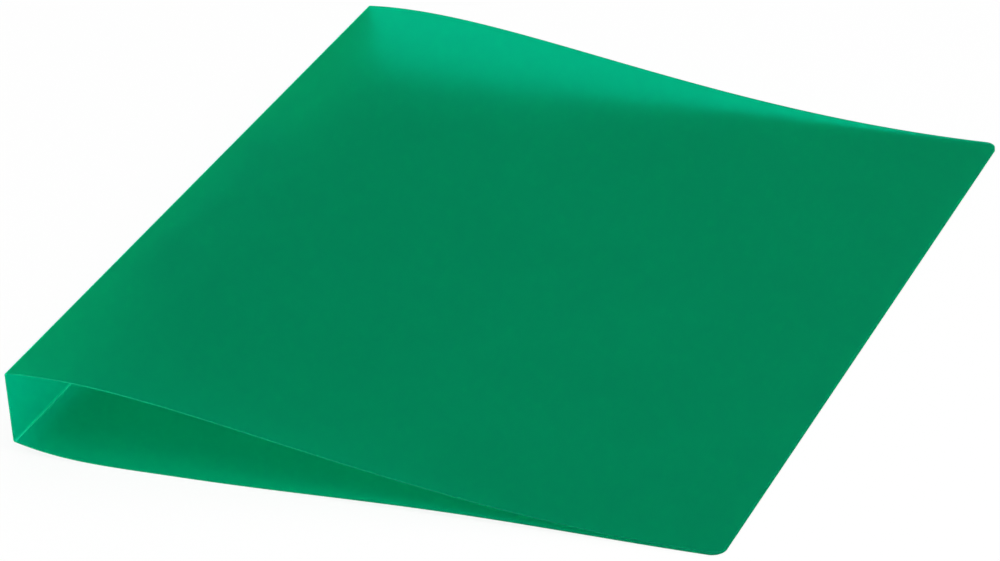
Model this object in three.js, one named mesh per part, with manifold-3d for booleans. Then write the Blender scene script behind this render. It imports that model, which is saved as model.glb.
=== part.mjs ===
// Two-ring binder, closed and lying on its back cover.
// One creased polypropylene sheet makes both covers and the spine, and a riveted steel ring mechanism
// sits on the inside of the spine. The covers are sprung: they leave the folds bowed outwards and meet
// at the fore-edge.
// Millimetres. X runs from the spine to the fore-edge, Y along the spine, Z up from the table.
import * as THREE from "three";
import { mergeVertices } from "three/addons/utils/BufferGeometryUtils.js";
import Module from "manifold-3d";

const wasm = await Module();
wasm.setup();

// The sheet
const SHEET = 0.5;
const LENGTH = 320;
const SPINE_WIDTH = 28;
const COVER_WIDTH = 265;
const CORNER_RADIUS = 5;
const COVER_GAP = 0.3; // between the covers where they meet at the fore-edge
const SEAM = 0.05; // between pieces that touch

// The folds: a rounded outer corner whose web is pressed thin on the inside
const FOLD_RADIUS = 1;
const WEB = 0.3;
const BACK_FOLD_Z = 4.5; // the spring of the folds lifts the spine off the table
const FRONT_FOLD_Z = BACK_FOLD_Z + SPINE_WIDTH;
const SPINE_MID = (BACK_FOLD_Z + FRONT_FOLD_Z) / 2;

// The front cover's curve: it rises out of the fold, then falls to the fore-edge and levels out
const FRONT_RISE = 3.9;
const FRONT_RISE_REACH = 63;
const FRONT_LEVEL_REACH = 118.5;

// The back cover's curve: down to a flat strip on the table, then a shallow lift in its middle
const BACK_DROP_REACH = 17.6;
const BACK_LEVEL_REACH = 21.3;
const REST_START = 53.3;
const REST_WIDTH = 15;
const BACK_LIFT = 1.6;

// The ring mechanism, measured from the spine's inner face and from the middle of the spine
const RING_SPACING = 80;
const RING_BORE = 15;
const WIRE = 2.5;
const STEEL = 0.8;
const HOUSING_LENGTH = 124;
const HOUSING_HALF_WIDTH = 7.5;
const HOUSING_HEIGHT = 5.2;
const HOUSING_WALL_HEIGHT = 1.6; // straight side walls, below the arch
const HOUSING_LIP = 2; // how far the curled rims reach under the blades
const HOUSING_CORNER = 5;
const NOTCH_WIDTH = 3.5;
const NOTCH_INNER = 2.5;
const NOTCH_FLOOR = 1.9;

const PIVOT_OUT = 6.3; // where a blade rocks in its rim: outwards from the middle, and off the spine
const PIVOT_UP = 1.35;
const BLADE_LENGTH = 96;
const BLADE_HEEL = 0.2;
const BLADE_FINGERS = 6;
const FINGER_REACH = 1.2;
const BLADE_GAP = 0.3;
const BLADE_TILT = THREE.MathUtils.degToRad(4);

const ROOT_OUT = 3.6; // where a half ring is staked into its blade
const STAKE_RADIUS = 1.7;
const STAKE_HEIGHT = 0.25;
const STAKE_TOP = -(STEEL / 2 + SEAM); // just under the blade
const STUB_REACH = 1.6;
const BEND_REACH = 2.6;
const RING_JOIN = THREE.MathUtils.degToRad(38); // where the wire's bend runs into the round of the ring
const TIP_GAP = 0.3;
const TIP_TONGUE = 0.9;

const RIVET_SPACING = 108;
const RIVET_HEAD_RADIUS = 4.5;
const RIVET_HEAD_HEIGHT = 1.2;
const RIVET_BARREL = 2.3;
const RIVET_BORE = 1.5;
const RIVET_HOLE = 2.5;
const RIVET_FLANGE = 3.2;
const RIVET_FLANGE_HEIGHT = 0.6;
const DIMPLE_TOP = 5.2;
const DIMPLE_FLOOR = 4.2;

const RING_CENTRE = HOUSING_HEIGHT + RING_BORE / 2;
const RING_MEAN = (RING_BORE + WIRE) / 2;

// The part's origin is under the middle of its outer box
const ORIGIN_X = (COVER_WIDTH - RIVET_HEAD_HEIGHT) / 2;

const sheetMaterial = new THREE.MeshStandardMaterial({ color: 0x00865a, roughness: 0.42, metalness: 0 });
const foldMaterial = new THREE.MeshStandardMaterial({ color: 0x16b883, roughness: 0.4, metalness: 0 });
const platedSteel = new THREE.MeshStandardMaterial({ color: 0xc9ccd0, roughness: 0.24, metalness: 1 });
const rivetSteel = new THREE.MeshStandardMaterial({ color: 0xbfc2c6, roughness: 0.3, metalness: 1 });

// A closed geometry as a solid that can be cut and joined
function solid(geometry) {
  const bare = new THREE.BufferGeometry();
  bare.setAttribute("position", geometry.getAttribute("position"));
  if (geometry.index) bare.setIndex(geometry.index);
  const merged = mergeVertices(bare, 1e-4);
  return new wasm.Manifold(
    new wasm.Mesh({
      numProp: 3,
      vertProperties: merged.attributes.position.array,
      triVerts: new Uint32Array(merged.index.array),
    }),
  );
}

function geometryOf(made) {
  const { numProp, vertProperties, triVerts } = made.getMesh();
  const positions = new Float32Array(triVerts.length * 3);
  triVerts.forEach((vertex, i) => {
    positions.set(vertProperties.subarray(vertex * numProp, vertex * numProp + 3), i * 3);
  });
  const geometry = new THREE.BufferGeometry();
  geometry.setAttribute("position", new THREE.BufferAttribute(positions, 3));
  geometry.computeVertexNormals();
  return geometry;
}

function piece(name, geometry, material) {
  const mesh = new THREE.Mesh(geometry, material);
  mesh.name = name;
  return mesh;
}

// A shape drawn in X and Z, carried along Y from one place to another
function alongY(shape, from, to, curveSegments = 16) {
  const geometry = new THREE.ExtrudeGeometry(shape, { depth: to - from, bevelEnabled: false, curveSegments });
  return geometry.rotateX(Math.PI / 2).translate(0, to, 0);
}

// A shape drawn in X and Y, carried up Z
function upZ(shape, from, to, curveSegments = 8) {
  const geometry = new THREE.ExtrudeGeometry(shape, { depth: to - from, bevelEnabled: false, curveSegments });
  return geometry.translate(0, 0, from);
}

// A profile of radius and height, turned about X
function aboutX(profile, segments = 24) {
  return new THREE.LatheGeometry(profile, segments).rotateZ(-Math.PI / 2);
}

// The outline of a sheet whose outer face follows the points, with its thickness on the side given
function sheetOutline(outer, side) {
  const inner = outer.map((point, i) => {
    const before = outer[Math.max(i - 1, 0)];
    const after = outer[Math.min(i + 1, outer.length - 1)];
    const along = after.clone().sub(before).normalize();
    return new THREE.Vector2(point.x - along.y * side * SHEET, point.y + along.x * side * SHEET);
  });
  return new THREE.Shape([...outer, ...inner.reverse()]);
}

// What a rounded corner of the fore-edge takes off a square one
function cornerCutter(end) {
  const reach = 1;
  const straight = COVER_WIDTH - CORNER_RADIUS;
  const edge = (LENGTH / 2) * end;
  const centre = edge - CORNER_RADIUS * end;
  const shape = new THREE.Shape();
  shape.moveTo(straight, edge);
  shape.absarc(straight, centre, CORNER_RADIUS, (Math.PI / 2) * end, 0, end > 0);
  shape.lineTo(COVER_WIDTH + reach, centre);
  shape.lineTo(COVER_WIDTH + reach, edge + reach * end);
  shape.lineTo(straight, edge + reach * end);
  return solid(upZ(shape, -reach, FRONT_FOLD_Z));
}

function cover(name, outer, side) {
  let made = solid(alongY(sheetOutline(outer, side), -LENGTH / 2, LENGTH / 2));
  for (const end of [-1, 1]) made = made.subtract(cornerCutter(end));
  return piece(name, geometryOf(made), sheetMaterial);
}

function frontCover() {
  const end = 2 * SHEET + COVER_GAP;
  const curve = new THREE.CubicBezierCurve(
    new THREE.Vector2(FOLD_RADIUS, FRONT_FOLD_Z),
    new THREE.Vector2(FRONT_RISE_REACH, FRONT_FOLD_Z + FRONT_RISE),
    new THREE.Vector2(COVER_WIDTH - FRONT_LEVEL_REACH, end),
    new THREE.Vector2(COVER_WIDTH, end),
  );
  return cover("front_cover", curve.getPoints(40), -1);
}

function backCover() {
  const drop = new THREE.CubicBezierCurve(
    new THREE.Vector2(FOLD_RADIUS, BACK_FOLD_Z),
    new THREE.Vector2(BACK_DROP_REACH, 0),
    new THREE.Vector2(REST_START - BACK_LEVEL_REACH, 0),
    new THREE.Vector2(REST_START, 0),
  );
  const outer = drop.getPoints(14);
  const liftStart = REST_START + REST_WIDTH;
  const steps = 24;
  for (let i = 0; i <= steps; i += 1) {
    const share = i / steps;
    const lift = (BACK_LIFT / 2) * (1 - Math.cos(2 * Math.PI * share));
    outer.push(new THREE.Vector2(THREE.MathUtils.lerp(liftStart, COVER_WIDTH, share), lift));
  }
  return cover("back_cover", outer, 1);
}

function spinePanel() {
  const shape = new THREE.Shape();
  const low = BACK_FOLD_Z + FOLD_RADIUS;
  const high = FRONT_FOLD_Z - FOLD_RADIUS;
  shape.moveTo(0, low);
  shape.lineTo(SHEET, low);
  shape.lineTo(SHEET, high);
  shape.lineTo(0, high);
  let made = solid(alongY(shape, -LENGTH / 2, LENGTH / 2));
  for (const end of [-1, 1]) {
    const hole = aboutX([
      new THREE.Vector2(0, -1),
      new THREE.Vector2(RIVET_HOLE, -1),
      new THREE.Vector2(RIVET_HOLE, 1 + SHEET),
      new THREE.Vector2(0, 1 + SHEET),
    ]);
    made = made.subtract(solid(hole.translate(0, (RIVET_SPACING / 2) * end, SPINE_MID)));
  }
  return piece("spine_panel", geometryOf(made), sheetMaterial);
}

// The web that bends at a fold: a quarter round outside and a groove pressed into it from the inside.
// It is as thick as the sheet at its ends, WEB thick in its middle, and one seam clear of each panel
function foldWeb(name, z, up) {
  const centre = z - FOLD_RADIUS * up;
  const slack = SEAM / FOLD_RADIUS;
  const from = Math.PI - slack * up;
  const to = Math.PI - (Math.PI / 2 - slack) * up;
  const coverEnd = new THREE.Vector2(FOLD_RADIUS - SEAM, z - SHEET * up);
  const spineEnd = new THREE.Vector2(SHEET, centre + SEAM * up);
  const diagonal = new THREE.Vector2(-Math.SQRT1_2, Math.SQRT1_2 * up);
  const thinnest = new THREE.Vector2(FOLD_RADIUS, centre).addScaledVector(diagonal, FOLD_RADIUS - WEB);
  const groove = thinnest.multiplyScalar(2).sub(coverEnd.clone().add(spineEnd).multiplyScalar(0.5));
  const shape = new THREE.Shape();
  shape.absarc(FOLD_RADIUS, centre, FOLD_RADIUS, from, to, up > 0);
  shape.lineTo(coverEnd.x, coverEnd.y);
  shape.quadraticCurveTo(groove.x, groove.y, spineEnd.x, spineEnd.y);
  return piece(name, alongY(shape, -LENGTH / 2, LENGTH / 2, 8), foldMaterial);
}

// The housing's arch on straight side walls, as a path from one wall's foot over to the other's
function archPath(shape, foot, halfWidth, height, backwards = false) {
  const way = backwards ? -1 : 1;
  shape.lineTo(foot, -halfWidth * way);
  shape.lineTo(HOUSING_WALL_HEIGHT, -halfWidth * way);
  shape.absellipse(
    HOUSING_WALL_HEIGHT,
    0,
    height - HOUSING_WALL_HEIGHT,
    halfWidth,
    (-Math.PI / 2) * way,
    (Math.PI / 2) * way,
    backwards,
  );
  shape.lineTo(foot, halfWidth * way);
}

// A spring-steel arch with curled rims, a dimple at each rivet and a notch for each half ring
function ringHousing() {
  const half = HOUSING_HALF_WIDTH;
  const lipEnd = half - HOUSING_LIP;
  const lipTop = SEAM + STEEL;
  const filled = new THREE.Shape();
  filled.moveTo(SEAM, -half);
  archPath(filled, SEAM, half, HOUSING_HEIGHT);
  const section = new THREE.Shape();
  section.moveTo(SEAM, -half);
  archPath(section, SEAM, half, HOUSING_HEIGHT);
  section.lineTo(SEAM, lipEnd);
  section.lineTo(lipTop, lipEnd);
  archPath(section, lipTop, half - STEEL, HOUSING_HEIGHT - STEEL, true);
  section.lineTo(lipTop, -lipEnd);
  section.lineTo(SEAM, -lipEnd);

  const end = HOUSING_LENGTH / 2;
  const arch = solid(alongY(section, -end, end, 20));
  const inside = solid(alongY(filled, -end, end, 20));
  let made = arch;
  for (const side of [-1, 1]) {
    const y = (RIVET_SPACING / 2) * side;
    const cup = solid(dimple(SEAM, DIMPLE_FLOOR, DIMPLE_TOP).translate(0, y, 0));
    const hollow = solid(dimple(SEAM + STEEL, DIMPLE_FLOOR - STEEL, DIMPLE_TOP - STEEL).translate(0, y, 0));
    const hole = solid(dimple(-1, RIVET_HOLE, RIVET_HOLE).translate(0, y, 0));
    made = made.add(cup.intersect(inside)).subtract(hollow).subtract(hole);
    for (const wall of [-1, 1]) made = made.subtract(notch((RING_SPACING / 2) * side, wall));
  }
  return piece("ring_housing", geometryOf(made.intersect(roundedPlan())), platedSteel);
}

// A cone standing on the spine at the height given, from one radius at its foot to another at the arch
function dimple(foot, footRadius, topRadius) {
  const top = HOUSING_HEIGHT + 1;
  return aboutX([
    new THREE.Vector2(0, foot),
    new THREE.Vector2(footRadius, foot),
    new THREE.Vector2(topRadius, top),
    new THREE.Vector2(0, top),
  ]);
}

function notch(y, wall) {
  const shape = new THREE.Shape();
  const top = HOUSING_HEIGHT + 1;
  const outer = HOUSING_HALF_WIDTH + 1;
  shape.moveTo(NOTCH_FLOOR, NOTCH_INNER * wall);
  shape.lineTo(NOTCH_FLOOR, outer * wall);
  shape.lineTo(top, outer * wall);
  shape.lineTo(top, NOTCH_INNER * wall);
  return solid(alongY(shape, y - NOTCH_WIDTH / 2, y + NOTCH_WIDTH / 2));
}

// The housing's outline seen from the rings, with its four corners rounded
function roundedPlan() {
  const half = HOUSING_HALF_WIDTH;
  const end = HOUSING_LENGTH / 2;
  const radius = HOUSING_CORNER;
  const plan = new THREE.Shape();
  plan.absarc(half - radius, end - radius, radius, 0, Math.PI / 2);
  plan.absarc(radius - half, end - radius, radius, Math.PI / 2, Math.PI);
  plan.absarc(radius - half, radius - end, radius, Math.PI, 1.5 * Math.PI);
  plan.absarc(half - radius, radius - end, radius, 1.5 * Math.PI, 2 * Math.PI);
  return solid(upZ(plan, -1, HOUSING_HEIGHT + 1).rotateY(Math.PI / 2));
}

// A blade rocks on its heel in the housing's rim. Its inner edge has fingers that fit between the other's.
// side is 1 for the upper blade and -1 for the lower one
function blade(name, side) {
  const pitch = BLADE_LENGTH / BLADE_FINGERS;
  const start = -BLADE_LENGTH / 2;
  const shape = new THREE.Shape();
  shape.moveTo(-BLADE_HEEL, start);
  for (let i = 0; i < BLADE_FINGERS; i += 1) {
    const reaches = i % 2 === (side > 0 ? 0 : 1);
    const edge = PIVOT_OUT - BLADE_GAP / 2 + (reaches ? FINGER_REACH : -FINGER_REACH);
    const inset = reaches ? BLADE_GAP / 2 : -BLADE_GAP / 2;
    const from = i === 0 ? start : start + i * pitch + inset;
    const to = i === BLADE_FINGERS - 1 ? -start : start + (i + 1) * pitch - inset;
    shape.lineTo(edge, from);
    shape.lineTo(edge, to);
  }
  shape.lineTo(-BLADE_HEEL, -start);
  for (const end of [-1, 1]) {
    const hole = new THREE.Path();
    hole.absarc(PIVOT_OUT - ROOT_OUT, (RING_SPACING / 2) * end, WIRE / 2 + 2 * SEAM, 0, 2 * Math.PI);
    shape.holes.push(hole);
  }
  const plate = upZ(shape, -STEEL / 2, STEEL / 2, 12);
  const mesh = piece(name, plate.rotateY((Math.PI / 2) * side), platedSteel);
  mesh.position.set(PIVOT_UP, 0, PIVOT_OUT * side);
  mesh.rotation.y = BLADE_TILT * side;
  return mesh;
}

// The wire's line: square up out of the blade, outwards in a bend, then round to the middle of the ring
function halfRingPath(side) {
  const at = (x, z) => new THREE.Vector3(x, 0, z * side);
  const arm = PIVOT_OUT - ROOT_OUT;
  const up = at(Math.cos(BLADE_TILT), -Math.sin(BLADE_TILT));
  const root = at(PIVOT_UP - arm * Math.sin(BLADE_TILT), PIVOT_OUT - arm * Math.cos(BLADE_TILT));
  const foot = root.clone().addScaledVector(up, STAKE_TOP);
  const join = at(RING_CENTRE - RING_MEAN * Math.cos(RING_JOIN), RING_MEAN * Math.sin(RING_JOIN));
  const round = at(Math.sin(RING_JOIN), Math.cos(RING_JOIN));
  const bend = new THREE.CubicBezierCurve3(
    foot,
    foot.clone().addScaledVector(up, STUB_REACH),
    join.clone().addScaledVector(round, -BEND_REACH),
    join,
  );
  const points = bend.getPoints(8);
  const roundSteps = 16;
  const past = (TIP_TONGUE + TIP_GAP) / RING_MEAN;
  for (let i = 1; i <= roundSteps; i += 1) {
    const angle = THREE.MathUtils.lerp(RING_JOIN, Math.PI + past, i / roundSteps);
    points.push(at(RING_CENTRE - RING_MEAN * Math.cos(angle), RING_MEAN * Math.sin(angle)));
  }
  return new THREE.CatmullRomCurve3(points, false, "centripetal");
}

// The part of the ring's tip that belongs to the other half: beyond a V that the two tips share
function tipCutter(side) {
  const reach = 4;
  const wide = WIRE;
  const valley = (TIP_TONGUE * wide) / (WIRE / 2) - TIP_TONGUE;
  const edge = (TIP_GAP / 2) * side;
  const shape = new THREE.Shape();
  shape.moveTo(-wide, edge + valley);
  shape.lineTo(0, edge - TIP_TONGUE);
  shape.lineTo(wide, edge + valley);
  shape.lineTo(wide, -reach * side);
  shape.lineTo(-wide, -reach * side);
  // Drawn in Y and Z, and carried along X through the top of the ring
  const geometry = new THREE.ExtrudeGeometry(shape, { depth: 2 * WIRE, bevelEnabled: false });
  geometry.applyMatrix4(
    new THREE.Matrix4().makeBasis(
      new THREE.Vector3(0, 1, 0),
      new THREE.Vector3(0, 0, 1),
      new THREE.Vector3(1, 0, 0),
    ),
  );
  return solid(geometry.translate(RING_CENTRE + RING_MEAN - WIRE, 0, 0));
}

function halfRing(name, y, side) {
  const sides = 12;
  const round = new THREE.Shape();
  round.absarc(0, 0, WIRE / 2, 0, 2 * Math.PI);
  const wire = new THREE.ExtrudeGeometry(round, {
    steps: 34,
    curveSegments: sides,
    extrudePath: halfRingPath(side),
  });
  const stake = aboutX([
    new THREE.Vector2(0, STAKE_TOP - STAKE_HEIGHT),
    new THREE.Vector2(STAKE_RADIUS, STAKE_TOP - STAKE_HEIGHT),
    new THREE.Vector2(STAKE_RADIUS, STAKE_TOP),
    new THREE.Vector2(0, STAKE_TOP),
  ], sides);
  stake.translate(0, 0, (ROOT_OUT - PIVOT_OUT) * side);
  stake.rotateY(BLADE_TILT * side);
  stake.translate(PIVOT_UP, 0, PIVOT_OUT * side);
  const made = solid(wire).add(solid(stake)).subtract(tipCutter(side));
  const mesh = piece(name, geometryOf(made), platedSteel);
  mesh.position.y = y;
  return mesh;
}

// A hollow rivet: a domed head outside the spine, and an end rolled over in the housing's dimple
function rivet(name, y) {
  const flange = 2 * SEAM + STEEL;
  const dome = new THREE.EllipseCurve(0, 0, RIVET_HEAD_RADIUS, RIVET_HEAD_HEIGHT - SEAM, -Math.PI / 2, 0);
  const roll = new THREE.EllipseCurve(
    (RIVET_FLANGE + RIVET_BORE) / 2,
    flange,
    (RIVET_FLANGE - RIVET_BORE) / 2,
    RIVET_FLANGE_HEIGHT,
    0,
    Math.PI,
  );
  const profile = [
    ...dome.getPoints(6).map((point) => new THREE.Vector2(point.x, point.y - SHEET - SEAM)),
    new THREE.Vector2(RIVET_BARREL, -SHEET - SEAM),
    new THREE.Vector2(RIVET_BARREL, flange),
    ...roll.getPoints(8),
    new THREE.Vector2(RIVET_BORE, -SHEET),
    new THREE.Vector2(0, -SHEET),
  ];
  profile[0].x = 0;
  const mesh = piece(name, aboutX(profile), rivetSteel);
  mesh.position.y = y;
  return mesh;
}

function ringMechanism() {
  const group = new THREE.Group();
  group.add(ringHousing(), blade("upper_blade", 1), blade("lower_blade", -1));
  for (const [end, sign] of [["near", -1], ["far", 1]]) {
    group.add(halfRing(`${end}_upper_half_ring`, (RING_SPACING / 2) * sign, 1));
    group.add(halfRing(`${end}_lower_half_ring`, (RING_SPACING / 2) * sign, -1));
    group.add(rivet(`${end}_rivet`, (RIVET_SPACING / 2) * sign));
  }
  group.position.set(SHEET, 0, SPINE_MID);
  return group;
}

const binder = new THREE.Group();
binder.add(
  frontCover(),
  spinePanel(),
  backCover(),
  foldWeb("front_fold_web", FRONT_FOLD_Z, 1),
  foldWeb("back_fold_web", BACK_FOLD_Z, -1),
  ringMechanism(),
);
binder.position.x = -ORIGIN_X;

export default binder;
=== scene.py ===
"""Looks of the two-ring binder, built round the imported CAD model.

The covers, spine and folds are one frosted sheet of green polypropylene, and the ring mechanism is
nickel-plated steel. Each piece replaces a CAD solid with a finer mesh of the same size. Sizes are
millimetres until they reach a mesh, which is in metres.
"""
import math

import bmesh
import bpy
from mathutils import Matrix, Vector

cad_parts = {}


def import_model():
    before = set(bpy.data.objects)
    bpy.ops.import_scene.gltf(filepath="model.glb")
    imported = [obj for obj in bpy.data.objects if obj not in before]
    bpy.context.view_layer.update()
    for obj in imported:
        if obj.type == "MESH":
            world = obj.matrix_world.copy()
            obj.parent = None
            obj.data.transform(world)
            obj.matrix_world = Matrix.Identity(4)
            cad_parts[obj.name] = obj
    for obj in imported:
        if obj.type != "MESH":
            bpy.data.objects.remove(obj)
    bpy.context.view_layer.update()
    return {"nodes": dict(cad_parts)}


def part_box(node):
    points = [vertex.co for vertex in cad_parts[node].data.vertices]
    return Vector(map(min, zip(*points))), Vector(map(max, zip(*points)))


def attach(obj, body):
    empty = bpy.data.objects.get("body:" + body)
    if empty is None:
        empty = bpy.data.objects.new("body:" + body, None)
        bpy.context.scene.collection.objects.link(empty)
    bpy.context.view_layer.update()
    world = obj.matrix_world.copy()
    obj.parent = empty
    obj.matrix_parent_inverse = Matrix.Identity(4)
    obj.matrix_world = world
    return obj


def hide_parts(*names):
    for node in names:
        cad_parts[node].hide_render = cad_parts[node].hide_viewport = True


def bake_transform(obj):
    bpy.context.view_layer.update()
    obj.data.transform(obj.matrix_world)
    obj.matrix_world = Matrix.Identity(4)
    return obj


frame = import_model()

MM = 0.001
NEAR = 0.01  # places closer than this are one
TINY = 1e-6

# The sheet, as in the CAD model: x from the spine's outer face, y from the middle, z from the table
SHEET = 0.5
LENGTH = 320
SPINE_WIDTH = 28
COVER_WIDTH = 265
CORNER_RADIUS = 5
COVER_GAP = 0.3
SEAM = 0.05
FOLD_RADIUS = 1
WEB = 0.3
BACK_FOLD_Z = 4.5
FRONT_FOLD_Z = BACK_FOLD_Z + SPINE_WIDTH
SPINE_MID = (BACK_FOLD_Z + FRONT_FOLD_Z) / 2
FRONT_RISE = 3.9
FRONT_RISE_REACH = 63
FRONT_LEVEL_REACH = 118.5
BACK_DROP_REACH = 17.6
BACK_LEVEL_REACH = 21.3
REST_START = 53.3
REST_WIDTH = 15
BACK_LIFT = 1.6

# The ring mechanism: u off the spine's inner face, y from the middle, w from the middle of the spine
RING_SPACING = 80
RING_BORE = 15
WIRE = 2.5
STEEL = 0.8
HOUSING_LENGTH = 124
HOUSING_HALF_WIDTH = 7.5
HOUSING_HEIGHT = 5.2
HOUSING_WALL_HEIGHT = 1.6
HOUSING_LIP = 2
HOUSING_CORNER = 5
HOUSING_BEND = 1.2
NOTCH_WIDTH = 3.5
NOTCH_INNER = 2.5
NOTCH_FLOOR = 1.9
PIVOT_OUT = 6.3
PIVOT_UP = 1.35
BLADE_TILT = math.radians(4)
ROOT_OUT = 3.6
STAKE_RADIUS = 1.7
STAKE_HEIGHT = 0.25
STAKE_TOP = -(STEEL / 2 + SEAM)
STUB_REACH = 1.6
BEND_REACH = 2.6
RING_JOIN = math.radians(38)
RING_CENTRE = HOUSING_HEIGHT + RING_BORE / 2
RING_MEAN = (RING_BORE + WIRE) / 2
TIP_GAP = 0.3
TIP_TONGUE = 0.9
RIVET_SPACING = 108
RIVET_HEAD_RADIUS = 4.5
RIVET_HEAD_HEIGHT = 1.2
RIVET_BARREL = 2.3
RIVET_BORE = 1.5
RIVET_HOLE = 2.5
RIVET_FLANGE = 3.2
RIVET_FLANGE_HEIGHT = 0.6
DIMPLE_FLOOR = 3.4
DIMPLE_TOP = 4.8
METAL_BEVEL = 0.08
BEVEL_STEPS = 2
SHARP_ANGLE = math.radians(38)

SPINE_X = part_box("spine_panel")[0].x / MM

# How finely the sheet is cut. A window is the square of the spine's grid round a rivet hole
COVER_STEPS = 100
COVER_ROWS = 24
CORNER_STEPS = 12
SLOPE_REACH = 0.05  # a curve's slope is taken between this far behind and ahead
HALVINGS = 40
FOLD_STEPS = 16
FOLD_ROWS = 24
SPINE_END_REACH = 50
SPINE_BAND = 9
WINDOW = 6
WINDOW_STEPS = 12
WINDOW_RADII = (RIVET_HOLE, 3.2, 4.2)

# How finely the housing is cut: rows across it from its middle out, close together where it is worked
MIDDLE_ROW_STEP = 3.4
MIDDLE_ROWS = 11
NOTCH_REACH = 3.5
NOTCH_EDGE = 0.25
NOTCH_TO_DIMPLE_ROWS = (1.2, 2.4, 3.8)  # from the notch's end
DIMPLE_REACH = 7
DIMPLE_ROWS = 10
CORNER_ROWS = (4, 2.9, 1.8, 1, 0.3, 0)  # back from the housing's end
DIMPLE_HALF_WIDTH = 6.4
DIMPLE_RADII = (RIVET_HOLE, 2.95, 3.35, 3.6, 3.8, 3.95, 4.1, 4.25, 4.4, 4.6, 4.8, 5.1, 5.4)
DIMPLE_OUTER_RINGS = 4
CROWN_ANGLES = (0, 0.12, 0.24)  # round the arch, from its crown
NOTCH_EDGE_ANGLE = 0.04
ARCH_STEPS = 9
CURL_STEPS = 5
LIP_STEPS = 2
EVENING_REACH = 2  # the columns even out over this length beside the rounded ends

# How finely the half rings and rivets are cut
WIRE_SIDES = 24
BEND_STEPS = 12
ROUND_STEPS = 40
BEND_AHEAD = 0.01
RIVET_SEGMENTS = 48
RIVET_STEPS = 12

# The material that a face of a sheet piece has: on the flat, at a cut end, or where two pieces meet
FLAT = 0
CUT = 1
JOINED = 2

# The frosted sheet. Its cut ends get painted light and shade: lighter beside the spine, where light comes
# through it, and darkening between the two distances from the spine
SHEET_IOR = 1.13
SHEET_ROUGHNESS = 1.0
SHEET_GLOSS = (0.0, 1.0, 0.7, 1.0)
PAINTED_SHADE_START = 30
PAINTED_SHADE_END = 180

# The plate's roughness runs between these shares of its own
PLATE_BRIGHTEST = 0.75
PLATE_DULLEST = 1.35

# Sockets of a colour Mix node
MIX_A = 6
MIX_B = 7
MIX_RESULT = 2

# The studio, in metres and watts apart from the floor's drop
WORLD_BRIGHT_SIDE = Vector((0.35, 0.7, 0.62))
WORLD_DARK = 0.1
WORLD_LIGHT = 0.97
FLOOR_HALF_WIDTH = 6
FLOOR_DROP = 0.2
FLOOR_COLOUR = (0.95, 0.95, 0.95, 1)
FLOOR_GLOW = 0.28
FLOOR_WHITE = 0.9
KEY_PLACE = Vector((0.5, -0.8, 1.85))
KEY_WIDTH = 1.6
KEY_HEIGHT = 1.2
KEY_POWER = 18

# The photograph's camera, fitted to the binder's edges: place in the row frame, angles in radians
CAMERA_PLACE = Vector((607.2, -1383.1, 787.9))
CAMERA_YAW = -0.42047
CAMERA_PITCH = 0.47776
CAMERA_ROLL = -0.07747
CAMERA_FOCAL_PX = 4592.5
PHOTO_WIDTH_PX = 1000
SENSOR_WIDTH = 36
CLIP_START = 0.01
CLIP_END = 50


def place(x, y, z):
    """A point of the sheet's own millimetres as a point of the row frame in metres."""
    return Vector(((x + SPINE_X) * MM, y * MM, z * MM))


def on_spine(u, y, w):
    """A point of the ring mechanism's own millimetres as a point of the row frame in metres."""
    return place(SHEET + u, y, SPINE_MID + w)


def blend(a, b, share):
    return a + (b - a) * share


def limited(share):
    return min(max(share, 0), 1)


def smoothstep(share):
    share = limited(share)
    return share * share * (3 - 2 * share)


# Materials

def node(tree, kind, **values):
    """A new node. A value goes to the input of its name, or to the attribute where no input has it."""
    made = tree.nodes.new(kind)
    for key, value in values.items():
        name = key.replace("_", " ")
        if name in made.inputs:
            made.inputs[name].default_value = value
        else:
            setattr(made, key, value)
    return made


def new_material(name):
    material = bpy.data.materials.new(name)
    material.use_nodes = True
    tree = material.node_tree
    tree.nodes.clear()
    output = tree.nodes.new("ShaderNodeOutputMaterial")
    return material, tree, output


def noise(tree, **values):
    """Noise through the object's own space, in features per metre."""
    coords = node(tree, "ShaderNodeTexCoord")
    made = node(tree, "ShaderNodeTexNoise", **values)
    tree.links.new(coords.outputs["Object"], made.inputs["Vector"])
    return made.outputs["Fac"]


def clouded(tree, colour, spread, scale):
    """A colour that drifts by the given share either way over the surface."""
    tint = node(tree, "ShaderNodeMix", data_type="RGBA")
    tint.inputs[MIX_A].default_value = (*[c * (1 - spread) for c in colour], 1)
    tint.inputs[MIX_B].default_value = (*[min(c * (1 + spread), 1) for c in colour], 1)
    tree.links.new(noise(tree, Scale=scale, Detail=3.0), tint.inputs[0])
    return tint.outputs[MIX_RESULT]


def painted_spine_light(tree, painted_shade_share):
    """Painted light and shade: a share that is 1 beside the spine, where light comes through it, and goes
    over to the painted shade share along the covers.
    """
    coords = node(tree, "ShaderNodeTexCoord")
    axes = node(tree, "ShaderNodeSeparateXYZ")
    tree.links.new(coords.outputs["Object"], axes.inputs[0])
    share = node(
        tree,
        "ShaderNodeMapRange",
        From_Min=(SPINE_X + PAINTED_SHADE_START) * MM,
        From_Max=(SPINE_X + PAINTED_SHADE_END) * MM,
        To_Min=1.0,
        To_Max=painted_shade_share,
    )
    tree.links.new(axes.outputs["X"], share.inputs["Value"])
    return share.outputs["Result"]


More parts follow.
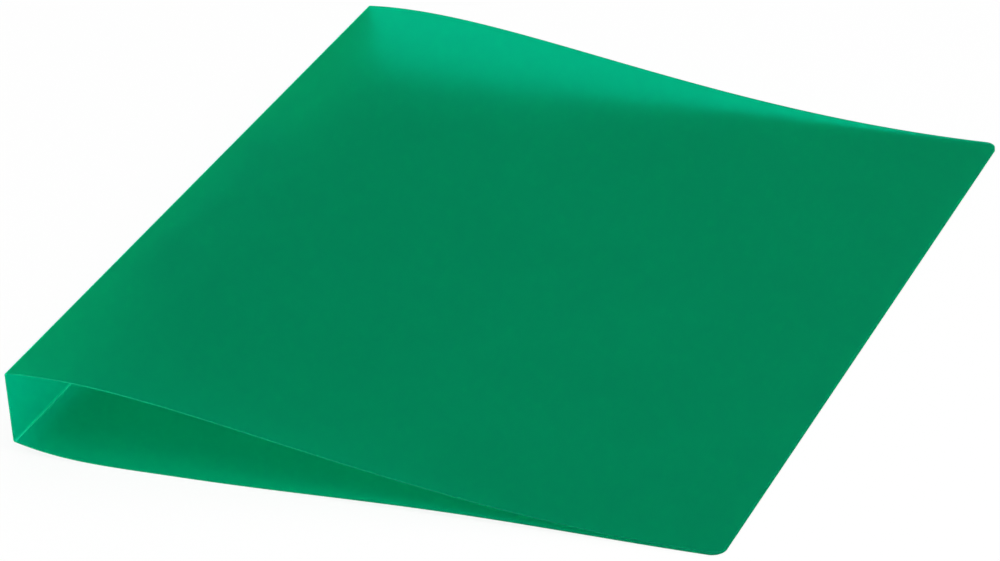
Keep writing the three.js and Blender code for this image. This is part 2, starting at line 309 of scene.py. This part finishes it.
def frosted_sheet(name, colour, glow, clear_share, diffuse_share, spread=0.03, scale=24.0, painted_shade_share=None):
    """Frosted polypropylene: part of the light passes with a blur, and part scatters in the sheet.

    With a painted shade share, the sheet's colour and glow darken to that share along the covers: painted
    shade away from the light that comes through the spine.
    """
    material, tree, output = new_material(name)
    bump = node(tree, "ShaderNodeBump", Strength=0.12, Distance=0.00006)
    tree.links.new(noise(tree, Scale=2600.0, Detail=2.0, Roughness=0.6), bump.inputs["Height"])
    body = node(
        tree,
        "ShaderNodeBsdfPrincipled",
        Roughness=SHEET_ROUGHNESS,
        IOR=SHEET_IOR,
        Transmission_Weight=clear_share,
        Specular_IOR_Level=0.0,
        Specular_Tint=SHEET_GLOSS,
    )
    tree.links.new(bump.outputs["Normal"], body.inputs["Normal"])
    through = node(tree, "ShaderNodeBsdfTranslucent", Color=(*glow, 1))
    tint = clouded(tree, colour, spread, scale)
    if painted_shade_share:
        share = painted_spine_light(tree, painted_shade_share)
        shade = node(tree, "ShaderNodeVectorMath", operation="SCALE")
        tree.links.new(tint, shade.inputs[0])
        tree.links.new(share, shade.inputs["Scale"])
        tint = shade.outputs[0]
        glow_shade = node(tree, "ShaderNodeVectorMath", operation="SCALE")
        glow_shade.inputs[0].default_value = glow
        tree.links.new(share, glow_shade.inputs["Scale"])
        tree.links.new(glow_shade.outputs[0], through.inputs["Color"])
    tree.links.new(tint, body.inputs["Base Color"])
    shared = node(tree, "ShaderNodeMixShader", Fac=diffuse_share)
    tree.links.new(body.outputs[0], shared.inputs[1])
    tree.links.new(through.outputs[0], shared.inputs[2])
    tree.links.new(shared.outputs[0], output.inputs["Surface"])
    return material


def plated(name, colour, roughness):
    """Nickel plate: bright, with a faint cloud of handling marks and fine drawing lines."""
    material, tree, output = new_material(name)
    spread = node(
        tree,
        "ShaderNodeMapRange",
        To_Min=roughness * PLATE_BRIGHTEST,
        To_Max=roughness * PLATE_DULLEST,
    )
    tree.links.new(noise(tree, Scale=160.0, Detail=4.0), spread.inputs["Value"])
    bump = node(tree, "ShaderNodeBump", Strength=0.08, Distance=0.00002)
    tree.links.new(noise(tree, Scale=900.0, Detail=3.0), bump.inputs["Height"])
    body = node(tree, "ShaderNodeBsdfPrincipled", Metallic=1.0)
    tree.links.new(clouded(tree, colour, spread=0.04, scale=90.0), body.inputs["Base Color"])
    tree.links.new(spread.outputs["Result"], body.inputs["Roughness"])
    tree.links.new(bump.outputs["Normal"], body.inputs["Normal"])
    tree.links.new(body.outputs[0], output.inputs["Surface"])
    return material


def clear_seam(name):
    """The hidden faces where two pieces of one sheet meet, which light passes as if they weren't there."""
    material, tree, output = new_material(name)
    body = node(tree, "ShaderNodeBsdfPrincipled", Alpha=0.0)
    tree.links.new(body.outputs[0], output.inputs["Surface"])
    return material


sheet_green = frosted_sheet(
    "green_sheet",
    colour=(0.0, 0.54, 0.324),
    glow=(0.0, 0.8, 0.5),
    clear_share=0.82,
    diffuse_share=0.05,
)
cut_green = frosted_sheet(
    "green_cut_edge",
    colour=(0.015, 0.56, 0.36),
    glow=(0.02, 0.86, 0.52),
    clear_share=0.5,
    diffuse_share=0.4,
    # painted sparkle: a strong, fine flicker of the pale cut face's colour stands in for glints of light
    # on the cut edges
    spread=0.4,
    scale=260.0,
    # painted shade: the cut ends darken to this share of their colour and glow along the covers
    painted_shade_share=0.62,
)
fold_green = frosted_sheet(
    "green_fold",
    colour=(0.01, 0.7, 0.46),
    glow=(0.02, 0.95, 0.68),
    clear_share=0.5,
    diffuse_share=0.4,
)
seam = clear_seam("green_seam")
nickel = plated("nickel_plate", colour=(0.75, 0.75, 0.75), roughness=0.22)
rivet_nickel = plated("rivet_plate", colour=(0.74, 0.74, 0.75), roughness=0.3)


# Meshes

def link_object(name, data):
    obj = bpy.data.objects.new(name, data)
    bpy.context.scene.collection.objects.link(obj)
    return obj


def finish_piece(name, bm, materials, replaced, body=None):
    """A closed, smooth-shaded piece that stands for the CAD node it replaces."""
    bmesh.ops.recalc_face_normals(bm, faces=bm.faces)
    for face in bm.faces:
        face.smooth = True
    for edge in bm.edges:
        edge.smooth = edge.calc_face_angle(0) < SHARP_ANGLE
    mesh = bpy.data.meshes.new(name)
    bm.to_mesh(mesh)
    bm.free()
    obj = link_object(name, mesh)
    for material in materials:
        mesh.materials.append(material)
    if body:
        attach(obj, body)
    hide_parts(replaced)
    return obj


def close_between(bm, faces, twin):
    """Closes the gap between the faces and their twins on the solid's other side."""
    for face in faces:
        bm.faces.new([twin[v] for v in reversed(face.verts)])
    edges = dict.fromkeys(edge for face in faces for edge in face.edges)
    for edge in edges:
        if len(edge.link_faces) == 1:
            a, b = edge.verts
            bm.faces.new((a, b, twin[b], twin[a])).material_index = CUT


def plate(rows, columns, at, kept=None, windows=()):
    """A thin solid on a grid. at(layer, row, column) gives its points and kept(row, column) its cells.

    A window is a block of cells with a round hole: its first and last rows, its first and last columns,
    its rings from the hole outwards, and over(layer, row, column, radius, share). That gives a ring's
    point on the way from the hole's centre to that point of the window's edge: on a circle, and then the
    given share of the way from the circle to the edge.
    """
    bm = bmesh.new()
    grid = []
    for layer in (0, 1):
        grid.append([[bm.verts.new(at(layer, i, j)) for j in range(columns)] for i in range(rows)])
    twin = {a: b for row_a, row_b in zip(*grid) for a, b in zip(row_a, row_b)}
    covered = set()
    for i0, i1, j0, j1, *_ in windows:
        covered.update((i, j) for i in range(i0, i1) for j in range(j0, j1))
    faces = []
    for i in range(rows - 1):
        for j in range(columns - 1):
            if (i, j) in covered or (kept and not kept(i, j)):
                continue
            corners = ((i, j), (i + 1, j), (i + 1, j + 1), (i, j + 1))
            faces.append(bm.faces.new([grid[0][a][b] for a, b in corners]))
    for i0, i1, j0, j1, steps, over in windows:
        edge = [(i, j0) for i in range(i0, i1)]
        edge += [(i1, j) for j in range(j0, j1)]
        edge += [(i, j1) for i in range(i1, i0, -1)]
        edge += [(i0, j) for j in range(j1, j0, -1)]
        rings = []
        for step in steps:
            ring = []
            for i, j in edge:
                pair = [bm.verts.new(over(layer, i, j, *step)) for layer in (0, 1)]
                twin[pair[0]] = pair[1]
                ring.append(pair[0])
            rings.append(ring)
        rings.append([grid[0][i][j] for i, j in edge])
        for inner, outer in zip(rings, rings[1:]):
            for k in range(len(edge)):
                n = (k + 1) % len(edge)
                faces.append(bm.faces.new((inner[k], outer[k], outer[n], inner[n])))
    close_between(bm, faces, twin)
    loose = [v for v in bm.verts if not v.link_faces]
    bmesh.ops.delete(bm, geom=loose, context="VERTS")
    return bm


def sort_rims(bm, at_seam):
    """Keeps the pale cut face of the sheet's ends, and clears the rims where two pieces of sheet meet."""
    bm.normal_update()
    for face in bm.faces:
        if face.material_index != CUT:
            continue
        if at_seam(face.calc_center_median()):
            face.material_index = JOINED
        elif abs(face.normal.y) < 0.5:
            face.material_index = FLAT


def soften_rims(bm):
    """Rounds every sharp edge of a metal piece a little."""
    bmesh.ops.recalc_face_normals(bm, faces=bm.faces)
    sharp = [e for e in bm.edges if e.calc_face_angle(0) > SHARP_ANGLE]
    bmesh.ops.bevel(
        bm,
        geom=sharp,
        offset=METAL_BEVEL * MM,
        offset_type="OFFSET",
        segments=BEVEL_STEPS,
        profile=0.5,
        affect="EDGES",
        clamp_overlap=True,
    )
    for face in bm.faces:
        face.material_index = FLAT


# The covers

def bezier(p0, p1, p2, p3, t):
    s = 1 - t
    return p0 * s**3 + p1 * 3 * s * s * t + p2 * 3 * s * t * t + p3 * t**3


def height_on(corners, x):
    """The height of a curve at x, found by halving."""
    low, high = 0.0, 1.0
    for _ in range(HALVINGS):
        middle = (low + high) / 2
        if bezier(*corners, middle).x < x:
            low = middle
        else:
            high = middle
    return bezier(*corners, low).y


def front_height(x):
    end = 2 * SHEET + COVER_GAP
    corners = (
        Vector((FOLD_RADIUS, FRONT_FOLD_Z)),
        Vector((FRONT_RISE_REACH, FRONT_FOLD_Z + FRONT_RISE)),
        Vector((COVER_WIDTH - FRONT_LEVEL_REACH, end)),
        Vector((COVER_WIDTH, end)),
    )
    return height_on(corners, x)


def back_height(x):
    if x >= REST_START:
        share = max(x - REST_START - REST_WIDTH, 0) / (COVER_WIDTH - REST_START - REST_WIDTH)
        return BACK_LIFT / 2 * (1 - math.cos(2 * math.pi * share))
    corners = (
        Vector((FOLD_RADIUS, BACK_FOLD_Z)),
        Vector((BACK_DROP_REACH, 0)),
        Vector((REST_START - BACK_LEVEL_REACH, 0)),
        Vector((REST_START, 0)),
    )
    return height_on(corners, x)


def cover(name, node_name, height, side):
    """A cover of the sheet: height gives its outer face, and side says which way its thickness goes."""
    straight = COVER_WIDTH - CORNER_RADIUS
    turns = [math.pi / 2 * i / CORNER_STEPS for i in range(CORNER_STEPS + 1)]
    xs = [blend(FOLD_RADIUS, straight, i / COVER_STEPS) for i in range(COVER_STEPS)]
    xs += [straight + CORNER_RADIUS * math.sin(turn) for turn in turns]
    section = []
    for x in xs:
        ahead = min(x + SLOPE_REACH, COVER_WIDTH)
        behind = max(x - SLOPE_REACH, FOLD_RADIUS)
        slope = (height(ahead) - height(behind)) / (ahead - behind)
        outer = Vector((x, height(x)))
        section.append((outer, outer + Vector((-slope, 1)).normalized() * SHEET * side))

    def at(layer, row, column):
        into = max(xs[row] - straight, 0)
        reach = LENGTH / 2 - CORNER_RADIUS + math.sqrt(max(CORNER_RADIUS**2 - into**2, 0))
        point = section[row][layer]
        return place(point.x, reach * (2 * column / COVER_ROWS - 1), point.y)

    def at_fold(centre):
        return centre.x < place(FOLD_RADIUS + SHEET, 0, 0).x and abs(centre.y) < (LENGTH / 2 - NEAR) * MM

    bm = plate(len(xs), COVER_ROWS + 1, at)
    sort_rims(bm, at_fold)
    materials = (sheet_green, cut_green, seam)
    finish_piece(name, bm, materials, node_name, node_name)


# The spine, with a round hole for each rivet

def spine():
    low, high = BACK_FOLD_Z + FOLD_RADIUS, FRONT_FOLD_Z - FOLD_RADIUS
    hole = RIVET_SPACING / 2
    across_window = [2 * WINDOW * i / WINDOW_STEPS - WINDOW for i in range(WINDOW_STEPS + 1)]
    before_hole = [-LENGTH / 2, SPINE_END_REACH - LENGTH / 2]
    ys = before_hole + [step - hole for step in across_window] + [0]
    ys += [-y for y in reversed(ys[:-1])]
    zs = [low, SPINE_MID - SPINE_BAND]
    first_column = len(zs)
    zs += [SPINE_MID + step for step in across_window]
    zs += [SPINE_MID + SPINE_BAND, high]

    def at(layer, row, column):
        return place(SHEET * layer, ys[row], zs[column])

    def opening(first_row, centre):
        def over(layer, i, j, radius, share):
            way = Vector((ys[i] - centre, zs[j] - SPINE_MID)).normalized() * radius
            return place(SHEET * layer, centre + way.x, SPINE_MID + way.y)

        rings = [(radius, 0) for radius in WINDOW_RADII]
        last_row = first_row + WINDOW_STEPS
        return first_row, last_row, first_column, first_column + WINDOW_STEPS, rings, over

    first_row = len(before_hole)
    windows = (opening(first_row, -hole), opening(first_row + WINDOW_STEPS + 2, hole))
    bm = plate(len(ys), len(zs), at, windows=windows)
    sort_rims(bm, lambda centre: abs(centre.z / MM - SPINE_MID) > (high - low) / 2 - NEAR)
    materials = (sheet_green, cut_green, seam)
    finish_piece("spine_sheet", bm, materials, "spine_panel", "spine")


def fold(name, replaced, z, up):
    """The web of a fold, with a groove pressed from the inside. It is a quarter round from the spine to
    the cover.
    """
    bm = bmesh.new()
    centre = Vector((FOLD_RADIUS, z - FOLD_RADIUS * up))
    ends = (Vector((SHEET, z - FOLD_RADIUS * up)), Vector((FOLD_RADIUS, z - SHEET * up)))
    thinnest = centre + (FOLD_RADIUS - WEB) * Vector((-math.sqrt(0.5), math.sqrt(0.5) * up))
    groove = thinnest * 2 - (ends[0] + ends[1]) / 2
    section = []
    for i in range(FOLD_STEPS + 1):
        angle = math.pi / 2 * i / FOLD_STEPS
        section.append(centre + FOLD_RADIUS * Vector((-math.cos(angle), math.sin(angle) * up)))
    for i in range(FOLD_STEPS, -1, -1):
        t = i / FOLD_STEPS
        section.append(ends[0] * (1 - t) ** 2 + groove * 2 * t * (1 - t) + ends[1] * t * t)
    rings = []
    for j in range(FOLD_ROWS + 1):
        y = LENGTH * (j / FOLD_ROWS - 0.5)
        rings.append([bm.verts.new(place(p.x, y, p.y)) for p in section])
    count = len(section)
    for a, b in zip(rings, rings[1:]):
        for i in range(count):
            k = (i + 1) % count
            side = bm.faces.new((a[i], a[k], b[k], b[i]))
            side.material_index = JOINED if i in (FOLD_STEPS, count - 1) else FLAT
    for ring in (rings[0], rings[-1]):
        for i in range(FOLD_STEPS):
            k = count - 1 - i
            bm.faces.new((ring[i], ring[i + 1], ring[k - 1], ring[k])).material_index = CUT
    obj = finish_piece(name, bm, (fold_green, cut_green, seam), replaced)
    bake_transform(obj)


# The housing: an arch with curled rims, a dimple at each rivet and a notch for each half ring

def arch_size(layer):
    """Half the arch's width and its rise over the side walls, outside (layer 0) or inside (layer 1)."""
    inset = STEEL * layer
    return HOUSING_HALF_WIDTH - inset, HOUSING_HEIGHT - HOUSING_WALL_HEIGHT - inset


def arch_height(layer, y, w):
    """The housing's face over a point of the spine, with the cone that a rivet's dimple takes out."""
    half, rise = arch_size(layer)
    height = HOUSING_WALL_HEIGHT + rise * math.sqrt(max(1 - (w / half) ** 2, 0))
    floor = SEAM + STEEL * (1 - layer)
    reach = math.hypot(abs(y) - RIVET_SPACING / 2, w) - STEEL * layer
    return blend(floor, height, smoothstep((reach - DIMPLE_FLOOR) / (DIMPLE_TOP - DIMPLE_FLOOR)))


def housing_rows():
    """Places along the housing, close together round a notch, a dimple and a rounded corner."""
    end = HOUSING_LENGTH / 2
    notch = RING_SPACING / 2
    notch_start = notch - NOTCH_WIDTH / 2
    notch_end = notch + NOTCH_WIDTH / 2
    ys = [MIDDLE_ROW_STEP * i for i in range(MIDDLE_ROWS)]
    ys += [notch - NOTCH_REACH, notch_start - NOTCH_EDGE, notch_start, notch]
    ys += [notch_end, notch_end + NOTCH_EDGE]
    ys += [notch_end + step for step in NOTCH_TO_DIMPLE_ROWS]
    ys += [RIVET_SPACING / 2 - DIMPLE_REACH + i for i in range(DIMPLE_ROWS)]
    ys += [end - step for step in (HOUSING_CORNER, *CORNER_ROWS)]
    return [-y for y in reversed(ys[1:])] + ys


def housing():
    ys = housing_rows()
    edge_angle = math.acos((NOTCH_FLOOR - HOUSING_WALL_HEIGHT) / arch_size(0)[1])
    inner_angle = math.asin(NOTCH_INNER / HOUSING_HALF_WIDTH)
    half_arch = [*CROWN_ANGLES, inner_angle - NOTCH_EDGE_ANGLE, inner_angle]
    half_arch += [blend(inner_angle, edge_angle, (i + 1) / ARCH_STEPS) for i in range(ARCH_STEPS)]
    half_arch += [math.pi / 2]
    angles = [-a for a in reversed(half_arch[1:])] + half_arch
    lip = HOUSING_HALF_WIDTH - HOUSING_LIP
    bend_out = HOUSING_HALF_WIDTH - HOUSING_BEND
    side_steps = 1 + CURL_STEPS + LIP_STEPS
    last_arch_column = side_steps + len(angles) - 1
    walls_end = HOUSING_LENGTH / 2 - HOUSING_CORNER

    def side_point(layer, step):
        """Down a side wall from the arch, round the curl and in along the rim: half width and height."""
        if step > CURL_STEPS + 1:
            share = (step - CURL_STEPS - 1) / LIP_STEPS
            return blend(bend_out, lip, share), SEAM + STEEL * layer
        radius = HOUSING_BEND - STEEL * layer
        angle = math.pi / 2 * (step - 1) / CURL_STEPS
        return bend_out + radius * math.cos(angle), SEAM + HOUSING_BEND - radius * math.sin(angle)

    def width_at(y):
        into = max(abs(y) - walls_end, 0)
        round_part = math.sqrt(max(HOUSING_CORNER**2 - into**2, 0))
        return HOUSING_HALF_WIDTH - HOUSING_CORNER + round_part

    def at(layer, row, column):
        y = ys[row]
        if column < side_steps:
            out, u = side_point(layer, side_steps - column)
            return on_spine(u, y, -out)
        if column > last_arch_column:
            out, u = side_point(layer, column - last_arch_column)
            return on_spine(u, y, out)
        half, _ = arch_size(layer)
        angle = angles[column - side_steps]
        evened = limited((abs(y) - walls_end) / EVENING_REACH)
        w = min(half, width_at(y)) * blend(math.sin(angle), angle / (math.pi / 2), evened)
        return on_spine(arch_height(layer, y, w), y, w)

    arch_columns = range(side_steps, last_arch_column)
    notch_columns = set()
    for k, (a, b) in enumerate(zip(angles, angles[1:])):
        nearer, further = sorted((abs(a), abs(b)))
        if inner_angle - TINY <= nearer and further <= edge_angle + TINY:
            notch_columns.add(side_steps + k)

    def kept(row, column):
        middle = abs(ys[row] + ys[row + 1]) / 2
        if column not in arch_columns:
            return middle < walls_end
        return column not in notch_columns or abs(middle - RING_SPACING / 2) > NOTCH_WIDTH / 2

    reach = max(k for k, a in enumerate(angles) if HOUSING_HALF_WIDTH * math.sin(a) < DIMPLE_HALF_WIDTH)
    first_column = last_arch_column - reach
    last_column = side_steps + reach
    rings = [(radius, 0) for radius in DIMPLE_RADII]
    rings += [(DIMPLE_RADII[-1], k / DIMPLE_OUTER_RINGS) for k in range(1, DIMPLE_OUTER_RINGS)]

    def dimple(centre):
        rows = [k for k, y in enumerate(ys) if abs(y - centre) < DIMPLE_REACH + NEAR]

        def over(layer, i, j, radius, share):
            edge = Vector((ys[i] - centre, at(layer, i, j).z / MM - SPINE_MID))
            way = edge.normalized() * radius
            y = centre + blend(way.x, edge.x, share)
            w = blend(way.y, edge.y, share)
            return on_spine(arch_height(layer, y, w), y, w)

        return rows[0], rows[-1], first_column, last_column, rings, over

    windows = [dimple(RIVET_SPACING / 2 * end) for end in (-1, 1)]
    bm = plate(len(ys), 2 * side_steps + len(angles), at, kept, windows)
    soften_rims(bm)
    finish_piece("ring_housing_plate", bm, (nickel,), "ring_housing", "spine")


# The half rings and rivets

def end_side(end):
    return 1 if end == "far" else -1


def half_ring(end, half, side):
    """A half ring: staked under its blade, bent out of it and round to a V that its partner fits."""
    bm = bmesh.new()
    y_middle = RING_SPACING / 2 * end_side(end)
    arm = PIVOT_OUT - ROOT_OUT
    up = Vector((math.cos(BLADE_TILT), -math.sin(BLADE_TILT)))
    root = Vector((PIVOT_UP - arm * math.sin(BLADE_TILT), PIVOT_OUT - arm * math.cos(BLADE_TILT)))
    foot = root + up * STAKE_TOP
    join = Vector((RING_CENTRE - RING_MEAN * math.cos(RING_JOIN), RING_MEAN * math.sin(RING_JOIN)))
    onward = Vector((math.sin(RING_JOIN), math.cos(RING_JOIN)))
    line = (foot, foot + up * STUB_REACH, join - onward * BEND_REACH, join)
    turns = [2 * math.pi * (k + 0.5) / WIRE_SIDES for k in range(WIRE_SIDES)]

    def section(centre, ahead, radius):
        out = Vector((-ahead.y, ahead.x))
        ring = []
        for turn in turns:
            point = centre + out * radius * math.cos(turn)
            ring.append(on_spine(point.x, y_middle + radius * math.sin(turn), point.y * side))
        return ring

    rings = [section(foot - up * STAKE_HEIGHT, up, STAKE_RADIUS), section(foot, up, STAKE_RADIUS)]
    for i in range(BEND_STEPS):
        t = i / BEND_STEPS
        ahead = bezier(*line, t + BEND_AHEAD) - bezier(*line, t)
        rings.append(section(bezier(*line, t), ahead.normalized(), WIRE / 2))
    for i in range(ROUND_STEPS + 1):
        ring = []
        for turn in turns:
            reach = RING_MEAN + WIRE / 2 * math.cos(turn)
            across = WIRE / 2 * math.sin(turn)
            tip = TIP_GAP / 2 - TIP_TONGUE * (1 - 2 * abs(across) / WIRE) * side
            angle = blend(RING_JOIN, math.pi - math.asin(tip / reach), i / ROUND_STEPS)
            ring.append(on_spine(
                RING_CENTRE - reach * math.cos(angle),
                y_middle + across,
                reach * math.sin(angle) * side,
            ))
        rings.append(ring)
    verts = [[bm.verts.new(p) for p in ring] for ring in rings]
    for a, b in zip(verts, verts[1:]):
        for k in range(WIRE_SIDES):
            n = (k + 1) % WIRE_SIDES
            bm.faces.new((a[k], a[n], b[n], b[k]))
    bm.faces.new(verts[0])
    tip_ring = verts[-1]
    quarter = WIRE_SIDES // 4
    pairs = [((quarter - 1 - k) % WIRE_SIDES, quarter + k) for k in range(WIRE_SIDES // 2)]
    for (a, b), (c, d) in zip(pairs, pairs[1:]):
        bm.faces.new((tip_ring[a], tip_ring[b], tip_ring[d], tip_ring[c]))
    name = f"{end}_{half}_half_ring"
    finish_piece(f"{name}_wire", bm, (nickel,), name, f"{half}_leaf")


def rivet(end):
    """A hollow rivet: a domed head outside the spine, and an end rolled over in the housing's dimple."""
    flange = 2 * SEAM + STEEL
    roll_middle = (RIVET_FLANGE + RIVET_BORE) / 2
    roll_reach = (RIVET_FLANGE - RIVET_BORE) / 2
    profile = []
    for i in range(RIVET_STEPS + 1):
        angle = math.pi / 2 * i / RIVET_STEPS
        height = (RIVET_HEAD_HEIGHT - SEAM) * math.cos(angle)
        profile.append((RIVET_HEAD_RADIUS * math.sin(angle), -height - SHEET - SEAM))
    profile += [(RIVET_BARREL, -SHEET - SEAM), (RIVET_BARREL, flange)]
    for i in range(RIVET_STEPS + 1):
        angle = math.pi * i / RIVET_STEPS
        out = roll_middle + roll_reach * math.cos(angle)
        profile.append((out, flange + RIVET_FLANGE_HEIGHT * math.sin(angle)))
    profile += [(RIVET_BORE, -SHEET), (0, -SHEET)]
    y_middle = RIVET_SPACING / 2 * end_side(end)
    turns = [2 * math.pi * k / RIVET_SEGMENTS for k in range(RIVET_SEGMENTS)]
    bm = bmesh.new()
    rings = []
    for radius, u in profile:
        if radius < TINY:
            rings.append([bm.verts.new(on_spine(u, y_middle, 0))] * RIVET_SEGMENTS)
            continue
        points = [on_spine(u, y_middle + radius * math.cos(t), radius * math.sin(t)) for t in turns]
        rings.append([bm.verts.new(point) for point in points])
    for a, b in zip(rings, rings[1:]):
        for k in range(RIVET_SEGMENTS):
            n = (k + 1) % RIVET_SEGMENTS
            corners = list(dict.fromkeys((a[k], a[n], b[n], b[k])))
            bm.faces.new(corners)
    name = f"{end}_rivet"
    finish_piece(f"{name}_turned", bm, (rivet_nickel,), name, "spine")


# The studio

def world():
    """White light that is brighter from one side and from above."""
    made = bpy.data.worlds.new("studio")
    bpy.context.scene.world = made
    made.use_nodes = True
    tree = made.node_tree
    background = tree.nodes["Background"]
    background.inputs["Color"].default_value = (1, 1, 1, 1)
    direction = node(tree, "ShaderNodeTexCoord")
    along = node(tree, "ShaderNodeVectorMath", operation="DOT_PRODUCT")
    along.inputs[1].default_value = WORLD_BRIGHT_SIDE
    tree.links.new(direction.outputs["Generated"], along.inputs[0])
    strength = node(tree, "ShaderNodeMapRange", From_Min=-1.0, To_Min=WORLD_DARK, To_Max=WORLD_LIGHT)
    tree.links.new(along.outputs["Value"], strength.inputs["Value"])
    tree.links.new(strength.outputs["Result"], background.inputs["Strength"])


def floor():
    """A floor that looks white and keeps the shadow, and glows less where light passes the sheet."""
    bm = bmesh.new()
    bmesh.ops.create_grid(bm, x_segments=1, y_segments=1, size=FLOOR_HALF_WIDTH)
    bmesh.ops.translate(bm, verts=bm.verts, vec=(0, 0, -FLOOR_DROP * MM))
    mesh = bpy.data.meshes.new("floor")
    bm.to_mesh(mesh)
    bm.free()
    obj = link_object("floor", mesh)
    material, tree, output = new_material("floor_white")
    diffuse = node(tree, "ShaderNodeBsdfDiffuse", Color=FLOOR_COLOUR)
    white = node(tree, "ShaderNodeEmission", Strength=1.0)
    path = node(tree, "ShaderNodeLightPath")
    direct = node(tree, "ShaderNodeMath", operation="MAXIMUM")
    tree.links.new(path.outputs["Is Camera Ray"], direct.inputs[0])
    tree.links.new(path.outputs["Is Glossy Ray"], direct.inputs[1])
    seen = node(tree, "ShaderNodeMath", operation="MULTIPLY")
    seen.inputs[1].default_value = FLOOR_WHITE
    tree.links.new(direct.outputs[0], seen.inputs[0])
    share = node(tree, "ShaderNodeMix", data_type="FLOAT", B=FLOOR_GLOW)
    tree.links.new(path.outputs["Is Transmission Ray"], share.inputs["Factor"])
    tree.links.new(seen.outputs[0], share.inputs["A"])
    shown = node(tree, "ShaderNodeMixShader")
    tree.links.new(share.outputs[0], shown.inputs[0])
    tree.links.new(diffuse.outputs[0], shown.inputs[1])
    tree.links.new(white.outputs[0], shown.inputs[2])
    tree.links.new(shown.outputs[0], output.inputs["Surface"])
    mesh.materials.append(material)


def key_lamp():
    light = bpy.data.lights.new("key", "AREA")
    light.shape = "RECTANGLE"
    light.size = KEY_WIDTH
    light.size_y = KEY_HEIGHT
    light.energy = KEY_POWER
    lamp = link_object("key", light)
    lamp.location = KEY_PLACE
    lamp.rotation_euler = (-KEY_PLACE).to_track_quat("-Z", "Y").to_euler()


def camera():
    yaw, pitch, roll = CAMERA_YAW, CAMERA_PITCH, CAMERA_ROLL
    ahead = Vector((
        math.sin(yaw) * math.cos(pitch),
        math.cos(yaw) * math.cos(pitch),
        -math.sin(pitch),
    ))
    level = Vector((math.cos(yaw), -math.sin(yaw), 0))
    above = level.cross(ahead)
    right = level * math.cos(roll) + above * math.sin(roll)
    up = above * math.cos(roll) - level * math.sin(roll)
    data = bpy.data.cameras.new("camera")
    data.sensor_width = SENSOR_WIDTH
    data.lens = CAMERA_FOCAL_PX * SENSOR_WIDTH / PHOTO_WIDTH_PX
    data.clip_start = CLIP_START
    data.clip_end = CLIP_END
    obj = link_object("camera", data)
    turn = Matrix((right, up, -ahead)).transposed().to_4x4()
    obj.matrix_world = Matrix.Translation(CAMERA_PLACE * MM) @ turn
    bpy.context.scene.camera = obj


cover("front_cover_sheet", "front_cover", front_height, -1)
cover("back_cover_sheet", "back_cover", back_height, 1)
spine()
fold("front_fold_bend", "front_fold_web", FRONT_FOLD_Z, 1)
fold("back_fold_bend", "back_fold_web", BACK_FOLD_Z, -1)
housing()
for end in ("near", "far"):
    half_ring(end, "upper", 1)
    half_ring(end, "lower", -1)
    rivet(end)

# The blades stay as the CAD model has them
for name, obj in frame["nodes"].items():
    obj.data.materials.clear()
    obj.data.materials.append(nickel if "blade" in name else sheet_green)

world()
floor()
key_lamp()
camera()
bpy.context.scene.view_settings.view_transform = "Standard"
